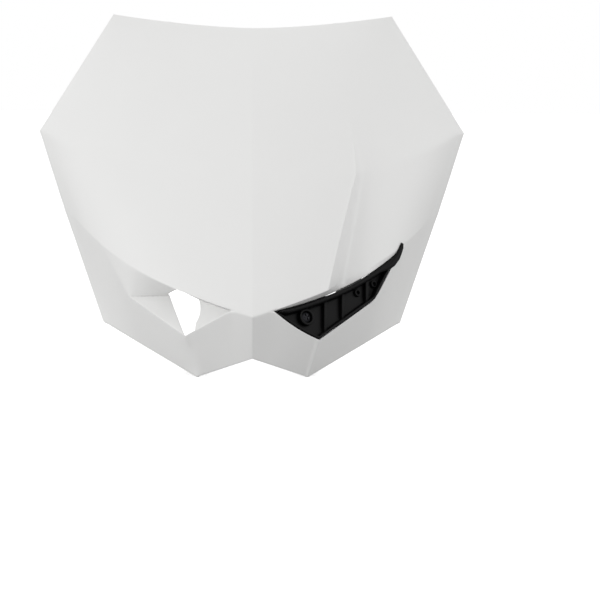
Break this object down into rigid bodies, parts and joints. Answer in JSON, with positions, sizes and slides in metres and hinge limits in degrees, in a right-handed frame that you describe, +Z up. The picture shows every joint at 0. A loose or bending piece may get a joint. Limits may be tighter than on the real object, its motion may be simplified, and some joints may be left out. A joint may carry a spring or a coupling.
{
  "type": "motorcycle headlight mask",
  "caption": "White moulded off-road motorcycle headlight mask with slanted eyes, one open beside a scoop, one filled by a black ribbed cover below an air channel.",
  "frame": {"origin": "centre of the width and of the depth, level with the lowest chin points", "axes": "+X to the right of a viewer who faces the mask, +Y backwards to the fork, +Z up, with the mask leaning back as the fork does"},
  "size_m": [0.292, 0.1624, 0.232],
  "materials": {
    "shell": "satin white polypropylene",
    "insert": "fine matt black",
    "screw": "black oxide"
  },
  "bodies": {
    "root": {"mask_shell": "shell", "eye_insert": "insert", "insert_screw": "screw"}
  },
  "joints": []
}
